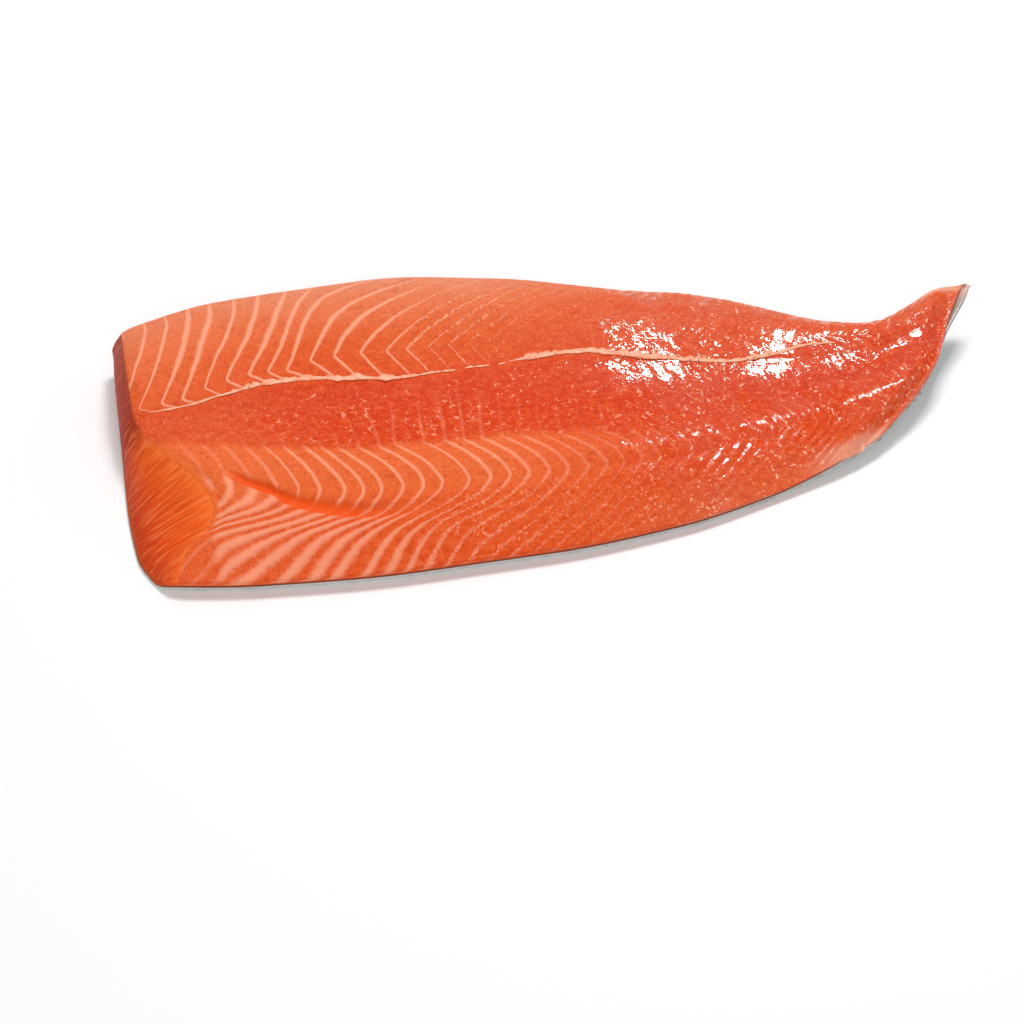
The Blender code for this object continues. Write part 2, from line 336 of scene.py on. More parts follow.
def flesh_top(x, across):
    """Upper surface with the ridges of the leaves, the lip of the flap and the swells of soft flesh."""
    point = top_surface(x, across)
    y = point[..., 1]
    start, end = top_ends(across)
    leaf = leaf_number(x, across, y)
    inside = ramp(0, 6, x - start) * ramp(0, 6, end - x) * ramp(0, .1, across) * ramp(0, .15, 4 - across)
    beyond, open_slit = past_slit(x, across)
    belly, tail, flap = ramp(2, 2.25, across), ramp(225, 280, x), flap_of(x, across)
    patch = ramp(-.2, .5, soft_noise(x, y, 17, 9))
    ridge = .05 * (1 - ramp(.9, 1, across)) + .08 * belly + .2 * flap + tail * patch * (.14 + .14 * belly)
    lip = open_slit * (1.5 * ramp(.11, .155, beyond) * (1 - ramp(.4, .9, beyond))
                       + SLIT_FILL * ramp(-.06, .03, beyond) * (1 - ramp(.3, .95, beyond)))
    swell = (.26 * soft_noise(x, y, 17, 3) + (.07 + .16 * tail) * soft_noise(x, y, 6, 4)
             + .2 * tail * soft_noise(x, y, 11, 5))
    point[..., 2] += inside * (ridge * np.cos(2 * np.pi * leaf) + lip + swell)
    return point


share, across = np.meshgrid(np.linspace(0, 1, ROWS + 1), across_rows, indexing="ij")
x = between(top_ends(across), share)
top = flesh_top(x, across)
coarse_share = share[::COARSE, ::COARSE]
turn_rows = np.interp(np.linspace(0, 1, coarse_share.shape[1]), [0, .12, .88, 1],
                      [0, BACK_ZONE, 1 - BELLY_ZONE, 1])
coarse_turn = np.broadcast_to(turn_rows, coarse_share.shape)
bottom = under_surface(between(under_ends(coarse_turn, 1), coarse_share), coarse_turn, SKIN_THICKNESS + SEAM_GAP)
print("fine grid", top.shape[:2], "coarse grid", bottom.shape[:2])

# %% Numbers that the material reads from each point
def spacing_in_mm(leaf, point):
    """Millimetres of surface for one step of the leaf number."""
    along_rows, along_columns = np.gradient(point, axis=0), np.gradient(point, axis=1)
    leaf_rows, leaf_columns = np.gradient(leaf, axis=0), np.gradient(leaf, axis=1)
    e, f, g = [(p * q).sum(-1) for p, q in ((along_rows, along_rows), (along_rows, along_columns),
                                            (along_columns, along_columns))]
    steep = (g * leaf_rows ** 2 - 2 * f * leaf_rows * leaf_columns + e * leaf_columns ** 2) / (e * g - f * f)
    return 1 / np.sqrt(np.clip(steep, 1 / 14 ** 2, 1))


start, end = top_ends(across)
at = muscle_across(x, across)
leaf = leaf_number(x, across, top[..., 1])
beyond, open_slit = past_slit(x, across)
flap = flap_of(x, across)
gutter = (ramp(-.05, .01, beyond) * (1 - ramp(.11, .18, beyond)) * ramp(50, 58, x)
          * (1 - .6 * ramp(100, 112, x)) * (1 - ramp(125, 150, x)))
loin_half = ((1.1 + .95 * ramp(.05, .3, at) * (1 - ramp(.55, .86, at))) * (.6 + .4 * ramp(15, 45, x))
             * (1 - .3 * ramp(120, 170, x)))
belly_half = 1.35 + 2.3 * flap + .3 * ramp(3.1, 3.3, at)
leaf_mm = spacing_in_mm(leaf, top_surface(x, across))
side = ramp(.98, 1.02, at)
tail = ramp(220, 260, x)
back_rim = (1 - ramp(.0, .10, across)) * (1 - .6 * ramp(90, 150, x)) * (1 - ramp(340, 370, x))
tail_rim = np.maximum((1 - ramp(.05, .4, across)) * ramp(380, 396, x), .35 * (1 - ramp(0, 4, end - x)))
low_rim = ramp(3.45, 3.8, across) * ramp(300, 335, x)
on_top = {
    "across": at,
    "length_mm": x,
    "leaf": leaf,
    "leaf_mm": leaf_mm,
    "clear": np.maximum(line_strength(x, at), .78 * flap) * (1 - .9 * gutter),
    "line_mm": np.minimum(loin_half * (1 - side) + belly_half * side, (.24 + .22 * flap) * leaf_mm),
    "dotted": ramp(125, 170, x) * (1 - side) + .7 * ramp(3, 3.2, at) * ramp(115, 160, x) + .7 * tail,
    "flecked": np.clip((.4 + .6 * ramp(50, 90, x)) * ramp(1.04, 1.2, at) * (1 - ramp(1.9, 2.05, at))
                       + .45 * ramp(3, 3.3, at) * ramp(110, 160, x) + .5 * tail
                       + .3 * ramp(135, 155, x) * ramp(.4, .8, at), 0, 1),
    "gutter": gutter,
    "flap": flap,
    "pale": np.clip(back_rim + .8 * tail_rim + .6 * low_rim, 0, 1),
    "wet": ramp(200, 268, x),
    "cut": 0 * x,
    "down": 0 * x,
    "edge_mm": 0 * x,
}

# %% Mesh of the flesh
def outline_of(grid):
    """The edge of a grid as one loop."""
    return np.concatenate([grid[:-1, 0], grid[-1, :-1], grid[:0:-1, -1], grid[0, :0:-1]])


def loops_down(upper, lower, bands, bulge):
    """Loops between an upper and a lower edge, bulging outwards in the middle."""
    tangent = np.roll(upper + lower, -1, 0) - np.roll(upper + lower, 1, 0)
    outward = np.stack([-tangent[:, 1], tangent[:, 0], 0 * tangent[:, 0]], -1)
    outward = outward / np.linalg.norm(outward, axis=1, keepdims=True)
    height = np.linalg.norm(upper - lower, axis=1, keepdims=True)
    return [upper * (1 - d) + lower * d + outward * height * bulge * np.sin(np.pi * d)
            for d in np.arange(1, bands) / bands]


def sheet_faces(number, up):
    """Four-sided faces of a grid of point numbers."""
    a, b, c, d = number[:-1, :-1], number[:-1, 1:], number[1:, 1:], number[1:, :-1]
    corners = (a, b, c, d) if up else (a, d, c, b)
    return np.stack([corner.ravel() for corner in corners], 1).tolist()


def band_faces(over, under):
    """Four-sided faces between two loops of the same length."""
    return np.stack([over, np.roll(over, -1), np.roll(under, -1), under], 1).tolist()


def piece_from(name, points, faces, edges=()):
    """A new object in the plain model's frame, with its faces smooth."""
    mesh = bpy.data.meshes.new(name)
    mesh.from_pydata((points - CENTRE) * MM, edges, faces)
    mesh.shade_smooth()
    piece = bpy.data.objects.new(name, mesh)
    bpy.context.scene.collection.objects.link(piece)
    print(name, len(mesh.vertices), "points,", sum(len(p.vertices) - 2 for p in mesh.polygons), "triangles")
    return piece


def give_numbers(piece, numbers):
    """Stores one number, or one vector, for each point of the piece under each name."""
    for name, values in numbers.items():
        values = np.asarray(values, np.float32)
        kind, key = ("FLOAT", "value") if values.ndim == 1 else ("FLOAT_VECTOR", "vector")
        piece.data.attributes.new(name, kind, "POINT").data.foreach_set(key, values.ravel())


number = np.arange(top[..., 0].size).reshape(top.shape[:2])
loop = outline_of(number)
upper = outline_of(top)
coarse_edge = outline_of(bottom)
part = np.arange(len(loop)) / COARSE
whole = part.astype(int)
following = np.roll(coarse_edge, -1, 0)
lower = coarse_edge[whole] + (following - coarse_edge)[whole] * (part - whole)[:, None]
middles = loops_down(upper, lower, BANDS, .08)
rim = np.array([loop] + [number.size + len(loop) * k + np.arange(len(loop)) for k in range(len(middles))])
faces = sheet_faces(number, True)
for over, under in zip(rim[:-1], rim[1:]):
    faces += band_faces(over, under)
coarse_number = rim.max() + 1 + np.arange(bottom[..., 0].size).reshape(bottom.shape[:2])
coarse_loop = outline_of(coarse_number)
for k, (this, after) in enumerate(zip(coarse_loop, np.roll(coarse_loop, -1))):
    f = [rim[-1][(COARSE * k + n) % len(loop)] for n in range(COARSE + 1)]
    faces += [(f[0], f[1], this), (f[1], f[2], this), (f[2], f[3], after), (f[3], f[4], after), (f[2], after, this)]
faces += sheet_faces(coarse_number, False)
flesh = piece_from("flesh_piece", np.concatenate([top.reshape(-1, 3)] + middles + [bottom.reshape(-1, 3)]), faces)

head_side = np.arange(len(loop)) > len(loop) - top.shape[1]
cut_edge = head_side.astype(float)
cut_edge[0] = cut_edge[len(loop) - top.shape[1] + 1] = .5
edge_mm = np.cumsum(np.linalg.norm(np.roll(upper, -1, 0) - upper, axis=1))
numbers = {}
for name, values in on_top.items():
    edge = {"cut": cut_edge, "edge_mm": edge_mm}.get(name, outline_of(values))
    down = [edge if name != "down" else edge * 0 + k / BANDS for k in range(1, BANDS)]
    under = {"across": 4 * coarse_turn.ravel(), "leaf_mm": 10 + 0 * coarse_turn.ravel()}
    numbers[name] = np.concatenate([values.ravel()] + down + [under.get(name, 0 * coarse_turn.ravel())])
give_numbers(flesh, numbers)

# %% [markdown]
# ## Materials
# Colours are written as sRGB hex values, as a paint chart has them, and turned into the linear numbers that a
# renderer needs. One small helper adds a node with its settings and its links, so a whole material reads as a list.

# %% Helpers for colours and nodes
def colour(code):
    """Linear RGBA from an sRGB hex code."""
    parts = [int(code[k:k + 2], 16) / 255 for k in (0, 2, 4)]
    return [c / 12.92 if c <= .04045 else ((c + .055) / 1.055) ** 2.4 for c in parts] + [1.0]


def add(tree, kind, inputs=(), out=0, **settings):
    """Adds a node and gives one of its outputs; inputs maps a socket to a value or to another node's output."""
    node = tree.nodes.new(kind)
    for key, value in settings.items():
        setattr(node, key, value)
    for key, value in dict(inputs).items():
        if isinstance(value, bpy.types.NodeSocket):
            tree.links.new(value, node.inputs[key])
        else:
            node.inputs[key].default_value = value
    return node.outputs[out] if len(node.outputs) else None


def new_material(name):
    """An empty material and its node tree."""
    material = bpy.data.materials.new(name)
    material.use_nodes = True
    material.node_tree.nodes.clear()
    return material, material.node_tree


# %% [markdown]
# ## Raw salmon flesh
# Raw flesh is a gel of muscle fibres full of water. Light goes in a millimetre or two and comes back orange, so
# it needs a little subsurface scattering, and the water film on it gives sharp, broken glints, so it has a coat.
# Its refractive index is near that of water with protein, 1.38. The colour changes with the line across, and the
# leaf number draws the pale sheets: the distance to the nearest whole number, turned to millimetres, is compared
# with the line's width. Fibres are 0.1 mm wide, too fine to see here, so bundles of about 0.8 mm are drawn.

# %% Colours of the flesh between the pale lines
flesh_finish, t = new_material("raw_moist_salmon_flesh")
place = add(t, "ShaderNodeTexCoord", out="Object")
read = {name: add(t, "ShaderNodeAttribute", attribute_name=name, out="Fac") for name in on_top}
SWELLS = {"patches": (18, 2, (1, 1, 1)), "mottle": (3.2, 4, (.8, 1, 1)), "fibres": (1.3, 3, (.35, 1, 1)),
          "grit": (1.1, 2, (1, 1, 1)), "specks": (2.6, 3, (1, 1, 1)), "threads": (5.5, 1, (1, 1, 1)),
          "water": (2.8, .5, (1, .5, 1)), "beads": (1.5, 0, (1, 1, 1))}
see = {}
for name, (size_mm, detail, stretch) in SWELLS.items():
    stretched = add(t, "ShaderNodeMapping", {"Vector": place, "Scale": stretch})
    see[name] = add(t, "ShaderNodeTexNoise", {"Vector": stretched, "Scale": 1 / (size_mm * MM), "Detail": detail})

HEAD_COLOURS = {0: "E49474", .3: "E38058", .7: "DA5924", .99: "DA4A16", 1.05: "D43C12", 1.5: "D2380E", 1.93: "D53F12",
                2.06: "E46530", 2.95: "E5642B", 3.2: "E2581F", 4: "E0501A"}
TAIL_COLOURS = {0: "E07A54", .3: "D9552C", 1.5: "D03810", 2.3: "D53E0E", 3.2: "D9430E", 4: "DE5C2E"}
wobble = add(t, "ShaderNodeMath", {0: see["patches"], 1: .24, 2: -.12}, operation="MULTIPLY_ADD")
wobble = add(t, "ShaderNodeMath", {0: read["across"], 1: wobble}, operation="ADD")
wobble = add(t, "ShaderNodeMath", {0: wobble, 1: 4.0}, operation="DIVIDE")
zones = []
for table in (HEAD_COLOURS, TAIL_COLOURS):
    zone = add(t, "ShaderNodeValToRGB", {0: wobble})
    stops = zone.node.color_ramp.elements
    for k, (at, code) in enumerate(table.items()):
        stop = stops[k] if k < 2 else stops.new(at / 4)
        stop.position, stop.color = at / 4, colour(code)
    zones.append(zone)
tailward = add(t, "ShaderNodeMapRange", {0: read["length_mm"], 1: 170.0, 2: 270.0}, interpolation_type="SMOOTHSTEP")
base = add(t, "ShaderNodeMix", {0: tailward, 6: zones[0], 7: zones[1]}, out=2, data_type="RGBA")

# Each layer of colour: where it lies, from which value to which, how much of it, and its hex code.
headward = add(t, "ShaderNodeMapRange", {0: read["length_mm"], 1: 120.0, 2: 20.0}, interpolation_type="SMOOTHSTEP")
# The gutter layer is partly the slit's own smooth orange flesh, partly painted light that brightens the shaded slit.
LAYERS = [(headward, 0.0, 1.0, .3, "EA7443"), (see["mottle"], .45, .75, .35, "EB6E3B"),
          (see["mottle"], .5, .25, .35, "B92F0D"), (see["fibres"], .5, .75, .3, "EF7E4C"),
          (see["grit"], .5, .25, .4, "B5350B"), (see["grit"], .52, .75, .35, "F38656"),
          (read["gutter"], .1, .9, .9, "EC5512"), (read["pale"], .0, 1.0, .75, "F4B69C")]
for value, low, high, most, code in LAYERS:
    much = add(t, "ShaderNodeMapRange", {0: value, 1: low, 2: high, 4: most}, interpolation_type="SMOOTHSTEP")
    base = add(t, "ShaderNodeMix", {0: much, 6: base, 7: colour(code)}, out=2, data_type="RGBA")

# %% Pale sheets between the leaves
nearest = add(t, "ShaderNodeMath", {0: read["leaf"], 1: .5}, operation="PINGPONG")
distance = add(t, "ShaderNodeMath", {0: nearest, 1: read["leaf_mm"]}, operation="MULTIPLY")
which = add(t, "ShaderNodeMath", {0: read["leaf"]}, operation="ROUND")
own = add(t, "ShaderNodeTexWhiteNoise", {"W": which}, noise_dimensions="1D")
own = add(t, "ShaderNodeMapRange", {0: own, 3: .75, 4: 1.2})
ragged = add(t, "ShaderNodeMapRange", {0: see["specks"], 1: .25, 2: .75, 3: .7, 4: 1.3})
half = add(t, "ShaderNodeMath", {0: read["line_mm"], 1: own}, operation="MULTIPLY")
half = add(t, "ShaderNodeMath", {0: half, 1: ragged}, operation="MULTIPLY")
core = add(t, "ShaderNodeMath", {0: half, 1: .12}, operation="MULTIPLY")
line = add(t, "ShaderNodeMapRange", {0: distance, 1: core, 2: half, 3: 1.0, 4: 0.0}, interpolation_type="SMOOTHSTEP")
gaps = add(t, "ShaderNodeMapRange", {0: see["grit"], 1: .58, 2: .46}, interpolation_type="SMOOTHSTEP")
gaps = add(t, "ShaderNodeMath", {0: gaps, 1: read["dotted"]}, operation="MULTIPLY")
line = add(t, "ShaderNodeMath", {0: line, 1: gaps}, operation="SUBTRACT", use_clamp=True)
line = add(t, "ShaderNodeMath", {0: line, 1: read["clear"]}, operation="MULTIPLY")
uncut = add(t, "ShaderNodeMath", {0: 1.0, 1: read["cut"]}, operation="SUBTRACT")
line = add(t, "ShaderNodeMath", {0: line, 1: uncut}, operation="MULTIPLY")
strong = add(t, "ShaderNodeMath", {0: line, 1: .78}, operation="MULTIPLY")
base = add(t, "ShaderNodeMix", {0: strong, 6: base, 7: colour("FCAE8C")}, out=2, data_type="RGBA")

# Short curved threads: the middle value of a slow noise is a curve, and only short pieces of it are kept.
middle = add(t, "ShaderNodeMath", {0: see["threads"], 1: .5}, operation="SUBTRACT")
middle = add(t, "ShaderNodeMath", {0: middle}, operation="ABSOLUTE")
thread = add(t, "ShaderNodeMapRange", {0: middle, 1: .008, 2: .035, 3: 1.0, 4: 0.0}, interpolation_type="SMOOTHSTEP")
piece = add(t, "ShaderNodeMapRange", {0: see["specks"], 1: .54, 2: .62}, interpolation_type="SMOOTHSTEP")
for part in (piece, read["flecked"], uncut):
    thread = add(t, "ShaderNodeMath", {0: thread, 1: part}, operation="MULTIPLY")
faint = add(t, "ShaderNodeMath", {0: thread, 1: .6}, operation="MULTIPLY")
base = add(t, "ShaderNodeMix", {0: faint, 6: base, 7: colour("FBB08C")}, out=2, data_type="RGBA")
# Painted highlights: in the wet tail, pale specks stand in for the glints of the smallest drops.
painted_glints = add(t, "ShaderNodeMath", {0: see["beads"], 1: see["water"]}, operation="ADD")
painted_glints = add(t, "ShaderNodeMapRange", {0: painted_glints, 1: 1.3, 2: 1.4, 4: .65}, interpolation_type="SMOOTHSTEP")
painted_glints = add(t, "ShaderNodeMath", {0: painted_glints, 1: read["wet"]}, operation="MULTIPLY")
base = add(t, "ShaderNodeMix", {0: painted_glints, 6: base, 7: colour("FFC8AA")}, out=2, data_type="RGBA")

# %% The cut face at the head
# The knife drags the fibres, so the streaks run down the face; its darker red at the bottom and back is partly its
# own tone, partly painted shade.
across_cut = add(t, "ShaderNodeMath", {0: read["edge_mm"], 1: .7}, operation="MULTIPLY")
down_cut = add(t, "ShaderNodeMath", {0: read["down"], 1: 2.4}, operation="MULTIPLY")
on_cut = add(t, "ShaderNodeCombineXYZ", {0: across_cut, 1: down_cut})
streak = add(t, "ShaderNodeTexNoise", {"Vector": on_cut, "Scale": 1.0, "Detail": 3.0, "Distortion": .4})
# Down the face: bright orange at the top to darker red at the bottom, partly painted shade.
cut_ramp = add(t, "ShaderNodeValToRGB", {0: read["down"]})
stops = cut_ramp.node.color_ramp.elements
for k, (at, code) in enumerate({0: "FA762C", 1: "BC3C18", .22: "EE6020", .6: "E04C18"}.items()):
    stop = stops[k] if k < 2 else stops.new(at)
    stop.position, stop.color = at, colour(code)
gaps = add(t, "ShaderNodeMapRange", {0: streak, 1: .5, 2: .3, 4: .5}, interpolation_type="SMOOTHSTEP")
# Painted shade: the back side of the face is mixed towards a deeper red.
painted_shade_back = add(t, "ShaderNodeMapRange", {0: read["across"], 1: 1.9, 2: 1.1, 4: .95}, interpolation_type="SMOOTHSTEP")
cut_ramp = add(t, "ShaderNodeMix", {0: painted_shade_back, 6: cut_ramp, 7: colour("AA2605")}, out=2, data_type="RGBA")
cut_colour = add(t, "ShaderNodeMix", {0: gaps, 6: cut_ramp, 7: colour("B8340C")}, out=2, data_type="RGBA")
veins = add(t, "ShaderNodeMapRange", {0: streak, 1: .5, 2: .7, 4: .6}, interpolation_type="SMOOTHSTEP")
cut_colour = add(t, "ShaderNodeMix", {0: veins, 6: cut_colour, 7: colour("F58A52")}, out=2, data_type="RGBA")
base = add(t, "ShaderNodeMix", {0: read["cut"], 6: base, 7: cut_colour}, out=2, data_type="RGBA")

# %% Relief, wetness and shader of the flesh
dry = add(t, "ShaderNodeMapRange", {0: read["wet"], 3: 1.0, 4: .25})
streaks_cut = add(t, "ShaderNodeMath", {0: streak, 1: read["cut"]}, operation="MULTIPLY")
waves = add(t, "ShaderNodeMath", {0: see["water"], 1: read["wet"]}, operation="MULTIPLY")
beads = add(t, "ShaderNodeMath", {0: see["beads"], 1: read["wet"]}, operation="MULTIPLY")
rough_flesh = add(t, "ShaderNodeMapRange", {0: read["gutter"], 3: 1.0, 4: .25})
grain = add(t, "ShaderNodeMath", {0: see["fibres"], 1: .25}, operation="MULTIPLY")
for value, share_of_height in ((see["mottle"], .4), (see["grit"], .25)):
    grain = add(t, "ShaderNodeMath", {0: value, 1: share_of_height, 2: grain}, operation="MULTIPLY_ADD")
grain = add(t, "ShaderNodeMath", {0: grain, 1: dry}, operation="MULTIPLY")
height = add(t, "ShaderNodeMath", {0: line, 1: .4, 2: grain}, operation="MULTIPLY_ADD")
for value, share_of_height in ((streaks_cut, .6), (waves, .55), (beads, .2)):
    height = add(t, "ShaderNodeMath", {0: value, 1: share_of_height, 2: height}, operation="MULTIPLY_ADD")
bumps = add(t, "ShaderNodeBump", {"Strength": rough_flesh, "Distance": .45 * MM, "Height": height})
dull = add(t, "ShaderNodeMapRange", {0: see["grit"], 1: .3, 2: .75, 3: .45, 4: .6})
roughness = add(t, "ShaderNodeMath", {0: read["wet"], 1: -.1, 2: dull}, operation="MULTIPLY_ADD")
dry_spots = add(t, "ShaderNodeMath", {0: see["beads"], 1: .6, 2: see["patches"]}, operation="MULTIPLY_ADD")
wet_limit = add(t, "ShaderNodeMapRange", {0: read["wet"], 1: .05, 2: 1.0, 3: .42, 4: .86})
film = add(t, "ShaderNodeMath", {0: wet_limit, 1: dry_spots}, operation="SUBTRACT")
film = add(t, "ShaderNodeMapRange", {0: film, 1: .0, 2: .05}, interpolation_type="SMOOTHSTEP")
flesh_shader = add(t, "ShaderNodeBsdfPrincipled", {
    "Base Color": base, "Roughness": roughness, "IOR": 1.38, "Specular IOR Level": .12, "Normal": bumps,
    "Subsurface Weight": .18, "Subsurface Radius": (1.0, .25, .1), "Subsurface Scale": 2.0 * MM,
    "Coat Weight": film, "Coat Roughness": .06, "Coat IOR": 1.47, "Coat Normal": bumps})
add(t, "ShaderNodeOutputMaterial", {0: flesh_shader})
flesh.data.materials.append(flesh_finish)
print("flesh material:", len(t.nodes), "nodes")

# %% [markdown]
# ## The skin
# The skin is one thin sheet under the whole fillet. It turns up a little at both long edges and sticks out a few
# millimetres at the tail, where its silver inner side shows. Two grids, one for each side, and one band of faces
# along the edge make it a closed shell. The outer grid lies a little inside the plain model's surface, because
# the scales take the last half millimetre.

# %% The skin as a thin shell
SCALE_ROOM = .5
SKIN_ROWS, SKIN_COLUMNS = 210, 64
share, turn = np.meshgrid(np.linspace(0, 1, SKIN_ROWS), np.linspace(.035, .98, SKIN_COLUMNS), indexing="ij")
skin_x = between(under_ends(turn, tail_margin(turn)), share)
sides = [under_surface(skin_x, turn, depth) for depth in (SKIN_THICKNESS, SCALE_ROOM)]
inner_number = np.arange(share.size).reshape(share.shape)
outer_number = inner_number + share.size
skin_faces = (sheet_faces(inner_number, True) + sheet_faces(outer_number, False)
              + band_faces(outline_of(inner_number), outline_of(outer_number)))
skin = piece_from("skin_piece", np.concatenate([side.reshape(-1, 3) for side in sides]), skin_faces)
give_numbers(skin, {"turn": np.tile(turn.ravel(), 2), "length_mm": np.tile(skin_x.ravel(), 2),
                    "outside": np.repeat([0.0, 1.0], share.size)})

# %% [markdown]
# ## Scales
# A salmon's scales are thin clear plates, three or four millimetres across, that overlap towards the tail in
# staggered rows, each tucked into a pocket of the skin. Modelling each by hand would be hopeless; a shader bump
# would be lost in the export. Geometry Nodes put one small plate on each place instead: the places are points
# spaced evenly round the skin, and each carries the direction out of the skin and the direction of the tail.

# %% Places of the scales
SCALE_PITCH = 3.5
SCALE_WIDE = 4.1
places, outwards, tailwards, turns = [], [], [], []
fine_turn = np.linspace(.045, .97, 400)
for row, x_row in enumerate(np.arange(CUT_BOTTOM[1] + 4, LENGTH - 3, SCALE_PITCH)):
    girth = under_surface(np.full(400, x_row), fine_turn, SCALE_ROOM - .04)
    measured = np.r_[0, np.cumsum(np.linalg.norm(np.diff(girth, axis=0), axis=1))]
    spots = np.arange(1 + (row % 2) * SCALE_WIDE / 2, measured[-1] - 1, SCALE_WIDE)
    spot_turn = np.interp(spots, measured, fine_turn)
    first, last = under_ends(spot_turn, tail_margin(spot_turn))
    spot_turn = spot_turn[(x_row > first + 2.5) & (x_row < last - 3.4)]
    spot_x = np.full(len(spot_turn), x_row)
    ahead = under_surface(spot_x + 1, spot_turn, SCALE_ROOM) - under_surface(spot_x - 1, spot_turn, SCALE_ROOM)
    places.append(under_surface(spot_x, spot_turn, SCALE_ROOM - .04))
    outwards.append(-inward_of_skin(spot_x, spot_turn))
    tailwards.append(ahead)
    turns.append(spot_turn)
scale_places = piece_from("scale_places", np.concatenate(places), [])
give_numbers(scale_places, {"outward": np.concatenate(outwards), "tailward": np.concatenate(tailwards),
                            "turn": np.concatenate(turns)})

# %% A tree that puts a small shape on every point
def new_tree(name, sizes):
    """A Geometry Nodes tree with a geometry socket and one named input for each size."""
    tree = bpy.data.node_groups.new(name, "GeometryNodeTree")
    tree.interface.new_socket("Geometry", in_out="INPUT", socket_type="NodeSocketGeometry")
    tree.interface.new_socket("Geometry", in_out="OUTPUT", socket_type="NodeSocketGeometry")
    for size in sizes:
        tree.interface.new_socket(size, in_out="INPUT", socket_type="NodeSocketFloat")
    return tree, {socket.name: socket for socket in tree.nodes.new("NodeGroupInput").outputs}


def finish_tree(tree, geometry, material):
    """Ends a tree the way the export needs it: real faces with a material."""
    real = add(tree, "GeometryNodeRealizeInstances", {0: geometry})
    done = add(tree, "GeometryNodeSetMaterial", {0: real, "Material": material})
    add(tree, "NodeGroupOutput", {0: done})


def grow(name, places, tree, sizes):
    """Runs the tree on the places and gives the result as a plain mesh object."""
    modifier = places.modifiers.new("grow", "NODES")
    modifier.node_group = tree
    for item in tree.interface.items_tree:
        if item.in_out == "INPUT" and item.name in sizes:
            modifier[item.identifier] = sizes[item.name]
    evaluated = places.evaluated_get(bpy.context.evaluated_depsgraph_get())
    mesh = bpy.data.meshes.new_from_object(evaluated)
    places.modifiers.clear()
    piece = bpy.data.objects.new(name, mesh)
    bpy.context.scene.collection.objects.link(piece)
    bpy.data.objects.remove(places)
    print(name, sum(len(p.vertices) - 2 for p in mesh.polygons), "triangles")
    return piece


def plates_on_points(name, material, sides, flatness):
    """Small flat plates on the points, turned to each point's outward and tailward directions."""
    sizes = ("Length", "Width", "Thickness", "Tilt", "Uneven")
    tree, size = new_tree(name, sizes)
    plate = add(tree, "GeometryNodeMeshCone", {"Vertices": sides, "Radius Top": flatness, "Radius Bottom": 1.0,
                                               "Depth": 1.0}, out="Mesh")
    plate = add(tree, "GeometryNodeSetShadeSmooth", {0: plate, "Shade Smooth": True})
    half_long = add(tree, "ShaderNodeMath", {0: size["Length"], 1: .5}, operation="MULTIPLY")
    half_wide = add(tree, "ShaderNodeMath", {0: size["Width"], 1: .5}, operation="MULTIPLY")
    shape = add(tree, "ShaderNodeCombineXYZ", {0: half_long, 1: half_wide, 2: size["Thickness"]})
    plate = add(tree, "GeometryNodeTransform", {0: plate, "Scale": shape})
    outward = add(tree, "GeometryNodeInputNamedAttribute", {"Name": "outward"}, data_type="FLOAT_VECTOR")
    tailward = add(tree, "GeometryNodeInputNamedAttribute", {"Name": "tailward"}, data_type="FLOAT_VECTOR")
    lifted = add(tree, "ShaderNodeVectorMath", {0: tailward}, operation="NORMALIZE")
    lean = add(tree, "ShaderNodeVectorMath", {0: lifted, "Scale": size["Tilt"]}, operation="SCALE")
    facing = add(tree, "ShaderNodeVectorMath", {0: outward, 1: lean}, operation="SUBTRACT")
    turned = add(tree, "FunctionNodeAlignRotationToVector", {"Vector": facing}, axis="Z")
    turned = add(tree, "FunctionNodeAlignRotationToVector", {0: turned, "Vector": tailward}, axis="X",
                 pivot_axis="Z")
    smallest = add(tree, "ShaderNodeMath", {0: 1.0, 1: size["Uneven"]}, operation="SUBTRACT")
    grown = add(tree, "FunctionNodeRandomValue", {2: smallest, 3: 1.0, "Seed": 7}, out=1, data_type="FLOAT")
    dots = add(tree, "GeometryNodeInstanceOnPoints", {
        0: add(tree, "GeometryNodeMeshToPoints", {0: tree.nodes["Group Input"].outputs[0]}), "Instance": plate,
        "Rotation": turned, "Scale": grown})
    finish_tree(tree, dots, material)
    return tree


# %% [markdown]
# ## Finish of the skin and the scales
# The back of a salmon is dark slate with black spots, the side is silver and the belly almost white. The silver is
# a layer of tiny crystals in the skin under clear scales, so it shines softly like satin metal. The inner side is
# plain silver-grey. Both pieces read how far round the fish a point is, so their colours meet.

# %% Skin materials
ROUND_COLOURS = {.03: "2F3B42", .16: "4C5961", .34: "8D979B", .6: "BFC5C6", .97: "E3E4E0"}


